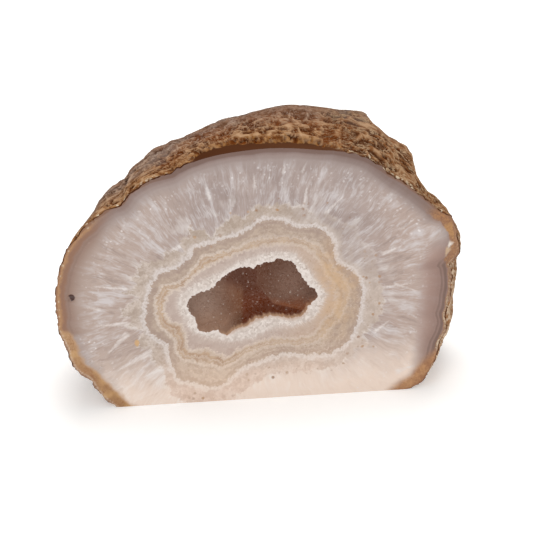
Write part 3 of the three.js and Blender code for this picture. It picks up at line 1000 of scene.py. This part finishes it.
def rim_colour(f, colour):
    """The chalcedony under the rim, darker outwards, with its faint lines and stained edge."""
    right = f.x.rise(40.0, 48.0) * f.z.rise(47.0, 40.0)
    left = f.x.rise(-36.0, -46.0) * f.z.rise(60.0, 50.0) * f.z.rise(21.5, 23.5)
    share = f.depth / (4.0 + right * 5.5 + left * 2.6 + (f.cloud - 0.5) * 1.5)
    clear = share.rise(0.0, 0.9).blend("7E6258", "A2918B")
    clear = right.blend(clear, share.rise(0.1, 1.0).blend("86665A", "A98B7F"))
    clear = left.blend(clear, share.rise(0.3, 1.1).blend("8B6A59", "A58E82"))
    shadow = f.x.rise(10.0, 24.0) * f.z.rise(47.0, 52.0) * share.rise(1.3, 0.3)
    clear = (shadow * 0.6).blend(clear, "735A51")
    wave = (f.depth * 5.0 + f.broad * 3.0).sine() * 0.5 + 0.5
    clear = (wave * f.depth.rise(4.5, 1.2) * (right * 0.3 + 0.15)).blend(clear, "6B4E42")
    keep = 1.0 - f.low * (1.0 - right)
    colour = (share.rise(1.6, 0.6) * 0.92 * keep).blend(colour, clear)

    soft = (f.cloud - 0.5) * 2.2 + (f.patch - 0.5) * 2.0
    grain = f.fine.rise(0.3, 0.7)
    strip = f.depth + soft * 0.5
    brown = (strip + (f.cloud - 0.5) * 1.6).rise(1.6, 0.6).blend("8C6248", "A87648")
    brown = (grain * strip.rise(1.6, 0.6) * 0.5).blend(brown, "C0986C")
    crumb = f.place.cells(1.1).rise(0.4, 0.25) * strip.rise(0.9, 0.5)
    brown = (crumb * 0.7).blend(brown, "D8C4A6")
    colour = (left * strip.rise(2.8, 1.9) * 0.9).blend(colour, brown)
    colour = (left * (strip - 3.2).line(0.1, 0.4) * 0.3).blend(colour, "7D6152")

    corner = (-f.x - f.z * 0.9).rise(28.5, 31.0) * f.z.rise(24.5, 22.0)
    within = (f.depth + soft) / (f.z.rise(14.0, 5.0) * 0.8 + 2.6)
    caramel = f.patch.rise(0.4, 0.6).blend("996A40", "B98D5A")
    caramel = (f.cloud.rise(0.52, 0.66) * f.z.rise(18.0, 8.0)).blend(caramel, "8C5529")
    caramel = (grain * 0.25).blend(caramel, "CFA878")
    caramel = (f.z.rise(15.0, 21.0) * grain * 0.6).blend(caramel, "C39C72")
    colour = (corner * within.rise(1.4, 0.9) * 0.8).blend(colour, "BC9268")
    colour = (corner * within.rise(1.1, 0.8)).blend(colour, caramel)
    colour = (corner * f.depth.rise(1.1, 0.4) * grain * 0.7).blend(colour, "DCC8B4")

    corner = (f.x - f.z * 1.1).rise(34.0, 39.0)
    within = (f.depth + soft) / 3.8
    caramel = f.fill.blend("935E34", "BD8A57")
    colour = (corner * within.rise(1.6, 0.7) * 0.95).blend(colour, caramel)

    outer = f.x.rise(40.0, 49.0) * f.z.rise(58.0, 48.0) * (1.0 - corner)
    ragged = f.depth + (f.cloud - 0.5) * 2.6 + (f.fine - 0.5) * 0.8
    brown = (f.fill * 0.5 + grain * 0.5).blend("7E5032", "AC7A49")
    speckled = f.fine.rise(0.42, 0.6).blend("8F6B48", "D6C1A5")
    chip = f.z.rise(37.0, 40.0)
    brown = (ragged.rise(0.9, 0.5) * (1.0 - chip * 0.8)).blend(brown, speckled)
    edge = chip * 1.6 + 0.9
    colour = (outer * (edge - ragged).rise(-0.3, 0.3) * 0.92).blend(colour, brown)
    lines = (f.depth - 1.5).line(0.2, 0.4).larger((f.depth - 2.7).line(0.1, 0.3) * 0.6)
    colour = (outer * lines * (1.0 - chip) * 0.6).blend(colour, "62463A")
    orange = (oval(f, 49.5, 51.5, 4.0, 3.0) + (f.cloud - 0.5) * 1.6).rise(1.6, 0.0)
    stained = (f.fill * 0.5 + grain * 0.5).blend("7D4E2C", "B0783F")
    colour = (orange * ragged.rise(4.0, 0.8) * 0.85).blend(colour, stained)
    colour = blade_light(f, *TAN_FLAKE).blend(colour, grain.blend("A0703E", "B68550"))
    colour = (blade_light(f, *CREAM_FLAKE) * 0.8).blend(colour, "C8A884")
    colour = blade_light(f, *WHITE_FLAKE).blend(colour, "DFD3C7")
    high = f.z.rise(62.0, 68.0)
    stain = high.blend("7D5133", "6B4C40")
    return ((f.depth - high * 0.8).rise(0.6, 0.1) * 0.7).blend(colour, stain)


def tones(f, dark, dark_low, light, light_low):
    """A band's colour, from dark to light with the fill, with lighter, warmer tones low on the
    face: painted light from below.
    """
    return f.fill.blend(f.low.blend(dark, dark_low), f.low.blend(light, light_low))


def band_colours(f, colour):
    """The bands from the crystal points inwards, each with jagged edges, and the fine lines
    of growth in them."""
    low = f.low
    sugar = f.fine.rise(0.35, 0.65)
    even = f.patch.rise(0.35, 0.6)
    outer = tones(f, "AA9789", "D6BAA7", "C6B5A8", "EAD3C3")
    outer = (f.cloud.rise(0.5, 0.6) * sugar * 0.6).blend(outer, low.blend("D3C6BE", "EAD6C8"))
    outer = (f.x.rise(12.0, 26.0) * 0.35).blend(outer, "C8B6AA")
    outer = (f.z.rise(44.0, 51.0) * 0.5).blend(outer, f.fill.blend("A79382", "BBA99B"))
    clear = f.x.rise(4.0, 18.0) * f.z.rise(28.0, 42.0)
    outer = (clear * 0.4).blend(outer, even.blend("B4A49C", "C6BAB4"))
    sheer = clear * f.violet.rise(0.8, 2.6) * (f.cloud.rise(0.35, 0.55) * 0.5 + 0.3)
    colour = (f.points.inside(0.35) * (1.0 - sheer)).blend(colour, outer)
    fringe = f.points.line(0.15, 0.6) * f.hair.rise(0.35, 0.6) * even * (1.0 - clear * 0.5)
    colour = (fringe * 0.7).blend(colour, low.blend("DDD3CD", "F0E2D6"))

    pale = low.blend("D9CFCB", "EBDACD")
    halo = f.violet.rise(2.2, 0.3) * f.violet.rise(-0.6, 0.0)
    colour = (halo * sugar * 0.4).blend(colour, pale)
    middle = tones(f, "A58E7F", "CBAF99", "BDA896", "DFC8B4")
    colour = (f.violet + 0.3).inside(0.3).blend(colour, middle)
    colour = ((f.violet + 1.4).line(0.3, 0.6) * 0.4).blend(colour, low.blend("9F877C", "C2A48E"))
    colour = (f.violet.line(0.4, 0.4) * (sugar * 0.55 + 0.4)).blend(colour, pale)

    cream = low.blend("D8C8BB", "E6D1BF")
    left = f.x.rise(2.0, -14.0)
    share = f.tan_in / (f.tan_in - f.tan_out)
    tan = f.cloud.rise(0.35, 0.65).blend("A8866A", "C2A488")
    between = tones(f, "B79F8C", "CDB19B", "C8B3A0", "DEC8B5")
    colour = f.tan_out.inside(0.35).blend(colour, between)
    inner = tones(f, "B29C91", "C2A593", "C3B0A5", "D2B8A8")
    inner = (f.x.rise(2.0, 12.0) * 0.4).blend(inner, "C4A588")
    colour = (f.tan_in + 0.2).inside(0.3).blend(colour, inner)
    rims = (f.tan_out - 0.2).line(0.25, 0.4).larger((f.tan_in + 0.2).line(0.25, 0.4))
    colour = (rims * (left * 0.35 + 0.5) * (sugar * 0.7 + 0.3)).blend(colour, cream)
    wander = share + (f.fine - 0.5) * 0.25
    core = (wander - 0.36).line(0.07, 0.1).larger((wander - 0.74).line(0.05, 0.1) * 0.7)
    colour = (core * (left * 0.4 + 0.5)).blend(colour, tan)

    growth = (f.violet * 5.2 + f.broad * 2.0).sine().rise(0.55, 1.0) * f.violet.inside(0.5)
    quiet = 1.0 - left * (1.0 - low) * 0.6
    colour = (growth * quiet * sugar * even * 0.5).blend(colour, low.blend("D3C1B2", "E6CFBB"))

    ripple = (f.tan_out * 3.4 + f.broad * 3.0 + f.fine * 2.0).sine().rise(0.45, 0.95)
    ripple = ripple * f.tan_out.rise(0.2, 0.9) * (f.low * 0.8 + 0.2)
    ripple = ripple * f.tan_out.rise(5.5, 3.5) * f.violet.inside(0.5)
    colour = (ripple * quiet * (sugar * 0.5 + 0.2)).blend(colour, low.blend("CFBDAE", "E6CFB8"))

    yellow = (oval(f, 21.0, 33.0, 7.0, 14.0) + (f.broad - 0.5) * 2.0).rise(1.6, 0.0)
    yellow = yellow * f.violet.inside(1.5) * (f.cloud.rise(0.35, 0.6) * 0.7 + 0.3)
    return (yellow * 0.5).blend(colour, "CCA270")


def crust_colour(f, colour):
    """The white crust round the mouth, sugary, with its outer edge growing into hairs."""
    sugar = f.place.cells(0.6, output=1).part(0)
    white = sugar.blend("C3B4AA", "E9DFD8")
    white = (f.from_mouth.rise(1.2, 0.2) * 0.5).blend(white, "ECE3DD")
    white = (f.cloud.rise(0.45, 0.65) * 0.3).blend(white, "CDBDB3")
    colour = (f.crust.rise(2.2, -0.4) * 0.3).blend(colour, "D3C4BA")
    colour = (f.crust.rise(0.6, -0.9) * 0.95).blend(colour, white)
    lip = f.from_mouth.rise(1.0, 0.0) * f.z.rise(29.0, 23.0) * f.x.rise(-12.0, -6.0)
    return (lip * 0.65).blend(colour, "B08C72")


def mark_colours(f, colour):
    """Rusty specks along the crystal points, dust inside them, an orange spot, and the pinhole
    painted dark as the shade inside it, a disc cut off at one side by a line that leans to the
    left as it rises."""
    picked = f.place.cells(1.6, output=1)
    speck = (f.place.cells(1.6) + (f.fine - 0.5) * 0.3).rise(0.42, 0.16) * picked.part(2).rise(0.62, 0.7)
    zone = (f.points + 1.0).line(2.2, 1.2) * f.x.rise(-24.0, -14.0) * f.place.noise(7.0).rise(0.42, 0.54)
    colour = (speck * zone * 0.8).blend(colour, picked.part(0).blend("8A6040", "B58652"))
    dust = f.place.specks(0.9, (0.3, 0.1), 1, (0.8, 0.85))
    colour = (dust * f.points.inside(1.0) * f.x.rise(-4.0, 8.0) * 0.4).blend(colour, "9C7A5C")
    spot = (oval(f, -34.0, 19.2, 0.8, 1.2) + (f.fine - 0.5) * 1.5).rise(1.1, 0.2)
    colour = (spot * 0.8).blend(colour, "CFA163")
    # The pinhole: painted shade inside the small pit.
    hole = oval(f, PINHOLE_X, PINHOLE_Z, PINHOLE_SIZE, PINHOLE_SIZE).rise(1.3, 0.8)
    cut = (f.x - PINHOLE_X + (f.z - PINHOLE_Z) * 0.4) / PINHOLE_SIZE
    return (hole * cut.rise(-0.6, -0.3)).blend(colour, "44241C")


def polished_agate():
    """The polished face, with all its bands."""
    material, start = new_finish("polished_agate")
    f = face_fields(start)
    colour = mark_colours(f, crust_colour(f, band_colours(f, rim_colour(f, quartz_colour(f)))))
    on_crust = f.crust.inside(0.7)
    rough = on_crust * 0.25 + 0.22 + f.fine * 0.08
    return close_finish(material, start, {
        "Base Color": colour, "Roughness": rough, "IOR": 1.54,
        "Normal": (f.fine * on_crust).bump(0.3, 0.0002),
    })


def rough_rind():
    """The rind: a net of thin pale strands over brown ground with rusty openings, painted near
    black on their deepest far sides as shade, golden by the face and greyer further back, with
    threads along its sides, and the smooth brown ledge below its broken edge, painted darker as
    the shade of that edge."""
    material, start = new_finish("rough_rind")
    place = start.place()
    x, y, z = place.part(0), place.part(1), place.part(2)
    past_shelf = start.attribute("past_shelf")
    cloud = place.noise(5.0, 4.0, 0.6)
    patch = place.noise(9.0, 2.0)
    grit = place.noise(1.1, 2.0, 0.6)
    mottle = place.noise(3.2, 2.0, 0.5)
    push = place.noise(2.4, 2.0, 0.5, colour=True).moved((-0.5, -0.5, -0.5)).scaled(2.0)
    back = y.rise(NET_FADES, NET_ENDS)
    pushed = place.moved(push.scaled(0.6))
    net = pushed.vein(3.6, 1.0).smaller(pushed.moved((31, 17, 5)).vein(3.6, 1.0))
    opened = (mottle * 0.6 + cloud * 0.4).rise(0.38, 0.6)
    pit = start.attribute("pit").larger(net.rise(0.03, 0.09) * opened * back * 0.9)
    wall = start.attribute("wall").larger(net.rise(0.02, 0.006) * back)
    fibre = place.vein(1.5, 2.0, 0.5, 0.6).rise(0.05, 0.01)
    strand = wall.larger(fibre * (mottle.rise(0.36, 0.56) * 0.5 + 0.3))

    far = (y - x * 0.12 + (cloud - 0.5) * 18).rise(6.0, 24.0)
    rust = patch.rise(0.42, 0.58) * y.rise(34.0, 8.0) * x.rise(-34.0, -14.0)
    ground = (mottle * 0.5 + grit * 0.5).rise(0.4, 0.6).blend(
        far.blend("7E5230", "6A5142"), far.blend("A27650", "8E7464")
    )
    ground = (rust * 0.4).blend(ground, "8A4C26")
    golden = grit.rise(0.4, 0.6).blend("693A18", "A4703A")
    ground = (past_shelf.rise(2.6, 0.6) * (mottle.rise(0.35, 0.6) * 0.4 + 0.5)).blend(ground, golden)
    opening = (rust * 0.8).blend(far.blend("5E3216", "4A3226"), "703812")
    colour = (pit.rise(0.1, 0.5) * 0.95).blend(ground, opening)
    # The most open places, on the far sides of the openings, painted near black: painted shade under the
    # strands, over the openings' own rusty brown.
    colour = (pit.rise(0.6, 0.95) * 0.7).blend(colour, "371A0A")
    pale = far.blend("BE9874", "AC9484")
    colour = (strand * (past_shelf.rise(0.3, 1.8) * 0.45 + 0.4)).blend(colour, pale)
    stain = place.noise(16.0, 3.0, 0.6)
    colour = (stain.rise(0.5, 0.62) * far * 0.4).blend(colour, "8A5F42")
    colour = (stain.rise(0.46, 0.36) * far * 0.3).blend(colour, "BBA99C")

    around = start.attribute("grain", 1).scaled(0.3, 0.3, 0).moved(push.scaled(0.5))
    around = around.moved(start.node("ShaderNodeCombineXYZ", {}, {2: y * 1.1}))
    thread = around.vein(1.1, 3.0, 0.6).rise(0.035, 0.005)
    side = x.rise(14.0, 30.0) * (y + (cloud - 0.5) * 20).rise(36.0, 18.0)
    # On the sides the openings are painted darker too: painted shade in them, over a brown that varies
    # at random.
    hollow = (pit * 0.7 + cloud * 0.5).rise(0.2, 0.7)
    colour = (side * 0.65).blend(colour, hollow.blend("8A5A36", "4A2A18"))
    colour = (thread.larger(wall * 0.6) * side * 0.75).blend(colour, "CCAB88")

    sides = abs(x + 2).rise(20.0, 32.0)
    pebbled = place.moved(push.scaled(0.5))
    fleck = pebbled.specks(1.3, (0.5, 0.38), 0, (0.5, 0.56))
    fleck = fleck * past_shelf.rise(3.0, 1.0) * grit.rise(0.32, 0.46)
    colour = (fleck * (sides * 0.8 + 0.1)).blend(colour, "E0CDB2")
    edge = x.rise(44.0, 49.0) * z.rise(47.0, 40.0) * (y + (cloud - 0.5) * 12).rise(15.0, 3.0)
    streaky = (grit + (wall - pit) * 0.12).rise(0.4, 0.58).blend("AA7A54", "DFC8AE")
    colour = (edge * 0.85).blend(colour, streaky)

    # The smooth ledge: its own glassy brown, painted darker still as shade under the rind's broken edge
    # above it.
    shaded_ledge = (x + (cloud - 0.5) * 20).rise(-30.0, 25.0).blend("4C2A18", "5C3A26")
    shaded_ledge = (y - past_shelf).rise(0.2, 3.0).blend("654635", shaded_ledge)
    on_shelf = (past_shelf + (grit - 0.5) * 0.8).rise(0.35, -0.15)
    colour = on_shelf.blend(colour, shaded_ledge)

    height = strand * 0.5 + grit * 0.6 + thread * side * 0.5 - pit * back
    height = height * (1.0 - on_shelf * 0.97)
    return close_finish(material, start, {
        "Base Color": colour, "Roughness": 0.88 - on_shelf * 0.5, "Specular IOR Level": 0.0,
        "Normal": height.bump(0.7, 0.0005),
    })


def sawn_base():
    """The sawn base: dull, cloudy, with the faint straight marks of the saw."""
    material, start = new_finish("sawn_base")
    place = start.place()
    cloud = place.noise(7.0, 4.0, 0.6)
    bands = place.scaled(0.35, 1.0, 1.0).noise(3.0, 4.0, 0.6, 0.8)
    marks = place.scaled(0.02, 1.0, 1.0).noise(0.5, 3.0, 0.6)
    colour = cloud.rise(0.35, 0.65).blend("CDB7A9", "E0CFC2")
    colour = (bands.rise(0.5, 0.75) * 0.5).blend(colour, "B79E90")
    colour = (marks.rise(0.5, 0.7) * 0.25).blend(colour, "EFE4DA")
    rough = marks * 0.15 + 0.5
    return close_finish(material, start, {
        "Base Color": colour, "Roughness": rough, "Normal": marks.bump(0.3, 0.0001),
    })


def hidden_wall():
    """The wall behind the crystal crust."""
    material, start = new_finish("chalcedony_wall")
    cloud = start.place().noise(3.0, 3.0)
    colour = cloud.blend("B19C90", "C9B8AC")
    return close_finish(material, start, {"Base Color": colour, "Roughness": 0.6})


def druse():
    """The crystals of the hollow, with the hollow's light and shade painted on them: mauve at the
    left where it is lit, browning towards the valley, with painted shade over the top of the left
    lobe and painted light at its lower left; brown at the right, orange-brown low down as a
    painted glow; and red-brown in the valley between, which leans upwards and to the left as it
    comes forward: partly its own colour and partly a painted glow of light through the walls."""
    material, start = new_finish("druse")
    place = start.place()
    y = place.part(1)
    x = place.part(0) - y * 0.137
    z = place.part(2) + y * 0.408
    sparkle = start.attribute("sparkle")
    cloud = (place.noise(4.0, 3.0) - 0.5) * 2.0
    # The valley: red-brown, partly its own colour and partly painted light glowing through the thin
    # walls; browner and darker at its top.
    valley = (z + cloud).rise(36.0, 24.0).blend("563020", "662C0A")
    # The left lobe: mauve at the left where it is lit, browner towards the valley: painted light and
    # shade.
    left = (x + cloud * 2).rise(-5.0, -17.0).blend("6E4730", "917667")
    # Painted shade over the top of the left lobe, under the roof of the hollow.
    left = (z + x * 0.4 + cloud).rise(29.0, 34.0).blend(left, "553224")
    # The right lobe: dark brown by the valley, grey-brown further right, and orange-brown lower down as
    # a painted glow of light through the wall.
    right = (x - z * 0.2 + cloud).rise(-7.0, 1.0).blend("5E3C2C", "775849")
    right = (z + cloud).rise(31.0, 27.0).blend(right, "854F31")
    # Painted light at the lower left of the left lobe, by the mouth.
    left = ((z + cloud).rise(29.0, 22.0) * x.rise(-5.0, -11.0) * 0.8).blend(left, "A8856F")
    colour = (x + cloud * 0.3 + 5.2).rise(0.6, -0.6).blend(valley, left)
    lower = z + x * 0.3 - 29.6
    upper = z + x * 1.2 - 32.8
    on_right = lower.smaller(upper).smaller(x * 2.0 + 2.4) + cloud * 0.3
    colour = on_right.rise(-0.3, 0.3).blend(colour, right)
    lip = y.rise(3.0, 0.5) * z.rise(31.0, 25.0) * x.rise(-13.0, -8.0)
    colour = (lip * 0.9).blend(colour, "C09A7C")
    # Each crystal's random tone, a little paler for some, and the palest few painted almost white:
    # painted glints.
    colour = (sparkle.rise(0.1, 1.0) * 0.1).blend(colour, "D8C4B8")
    colour = (sparkle.rise(0.96, 0.975) * 0.2).blend(colour, "EFE4DC")
    # Painted light: the crystals glow with their own colours, more strongly deeper in, as light shining
    # through the thin walls, and their colour under the lamps is cut to 0.72 so that the glow flattens
    # their shading.
    inner = (y - 4.0).rise(0.0, 10.0) * 0.4 + 0.35
    return close_finish(material, start, {
        "Base Color": colour.times(0.72), "Roughness": 0.45, "IOR": 1.54, "Specular IOR Level": 0.12,
        "Emission Color": colour.times(inner), "Emission Strength": 1.0,
    })


# The stage: its floor, and its lamps as (name, place in metres, size in metres, watts)
FLOOR_HALF = 4.0
SKY_STRENGTH = 0.52
LAMP_TARGET = (0, 0, 0.04)
LAMPS = [
    ("key", (-0.35, -0.75, 0.75), 0.6, 2.1),
    ("fill", (0.6, -0.7, 0.35), 0.7, 0.6),
    ("top", (0.05, 0.25, 0.9), 0.6, 4.4),
]


def floor():
    """A plain pale floor."""
    material, start = new_finish("pale_floor")
    close_finish(material, start, {
        "Base Color": "F6F5F3", "Roughness": 0.9,
        "Emission Color": (1.0, 1.0, 1.0, 1.0), "Emission Strength": 0.3,
    })
    mesh = bpy.data.meshes.new("floor")
    square = [(x * FLOOR_HALF, y * FLOOR_HALF, 0) for x, y in ((-1, -1), (1, -1), (1, 1), (-1, 1))]
    mesh.from_pydata(square, [], [(0, 1, 2, 3)])
    mesh.materials.append(material)
    ground = add_object("floor", mesh)


def soft_light(name, place, size, power):
    """A square area light that faces the middle of the stone."""
    data = bpy.data.lights.new(name, "AREA")
    data.size = size
    data.energy = power
    lamp = add_object(name, data)
    lamp.location = place
    lamp.rotation_euler = (Vector(LAMP_TARGET) - Vector(place)).to_track_quat("-Z", "Y").to_euler()


def studio():
    """Soft light from all round, a lamp before the face on either side, and one overhead."""
    world = bpy.data.worlds.new("studio")
    world.use_nodes = True
    backdrop = world.node_tree.nodes["Background"]
    backdrop.inputs["Color"].default_value = (1, 1, 1, 1)
    backdrop.inputs["Strength"].default_value = SKY_STRENGTH
    bpy.context.scene.world = world
    for lamp in LAMPS:
        soft_light(*lamp)
    bpy.context.scene.view_settings.view_transform = "Standard"


# The camera stands left of the face and above it; the target is a point of the face's plane.
CAMERA_LENS = 100.0
CAMERA_SENSOR = 36.0
CAMERA_DISTANCE = 400.0
CAMERA_AZIMUTH = math.radians(-7.8)
CAMERA_ELEVATION = math.radians(22.0)
CAMERA_TARGET = (1.6, 0.0, 39.7)


def camera():
    """The camera, aimed at its target with no shift and no depth of field."""
    data = bpy.data.cameras.new("camera")
    data.lens = CAMERA_LENS
    data.sensor_width = CAMERA_SENSOR
    eye = add_object("camera", data)
    level = math.cos(CAMERA_ELEVATION)
    back = Vector((
        math.sin(CAMERA_AZIMUTH) * level,
        -math.cos(CAMERA_AZIMUTH) * level,
        math.sin(CAMERA_ELEVATION),
    ))
    target = Vector((np.array(CAMERA_TARGET) + FRAME_SHIFT) * MM)
    eye.location = target + back * CAMERA_DISTANCE * MM
    eye.rotation_euler = (-back).to_track_quat("-Z", "Y").to_euler()
    bpy.context.scene.camera = eye


camera()
studio()
floor()
agate_face = polished_agate()
stone_piece([rough_rind(), agate_face, sawn_base(), hidden_wall()])
crust_piece([druse(), agate_face])
